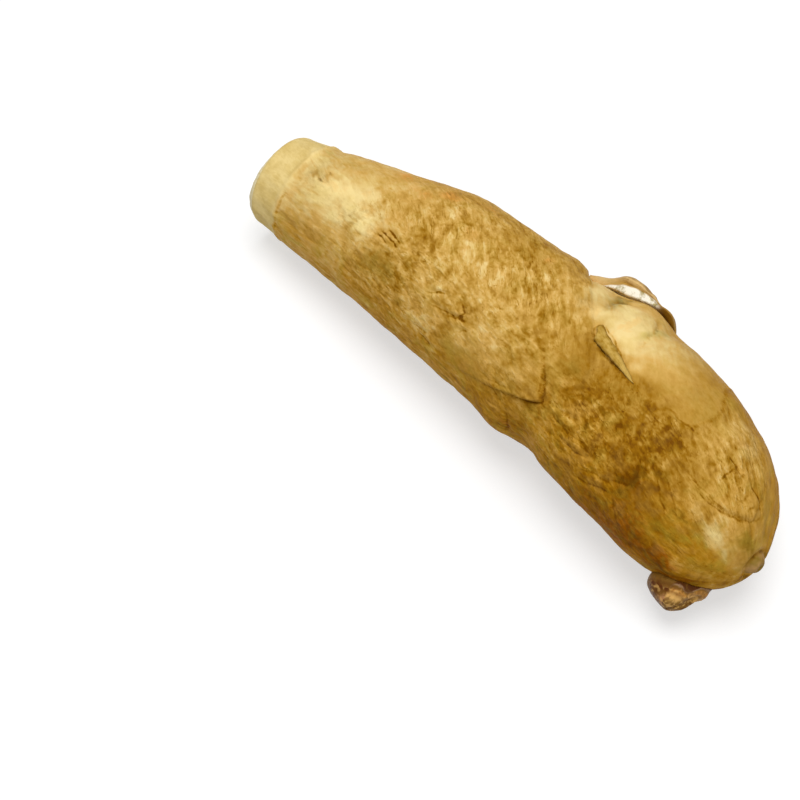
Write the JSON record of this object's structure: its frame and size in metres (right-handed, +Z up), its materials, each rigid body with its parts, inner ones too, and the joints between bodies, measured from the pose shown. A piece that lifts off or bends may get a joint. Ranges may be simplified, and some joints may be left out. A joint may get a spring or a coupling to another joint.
{
  "type": "arrowroot tuber",
  "caption": "Whole unpeeled arrowroot tuber lying on its side: a bent, ringed, tapering stem with a cut end, a blunt growing tip, a side bud and dry scale leaves.",
  "frame": {"origin": "middle of the flat strip that the tuber rests on", "axes": "+X from the cut stem end to the growing tip, +Y towards the side with the lifted scale leaf, +Z up"},
  "size_m": [0.1624, 0.0494, 0.0431],
  "materials": {
    "skin": "Dull tan skin with fine wrinkles, olive and rust patches, and a pale peeled band at the cut end.",
    "dry_scale": "Papery dry scale leaf, tan outside and glossy white inside."
  },
  "bodies": {
    "root": {"tuber": "skin", "side_scale": "dry_scale", "torn_scale": "dry_scale"}
  },
  "joints": []
}
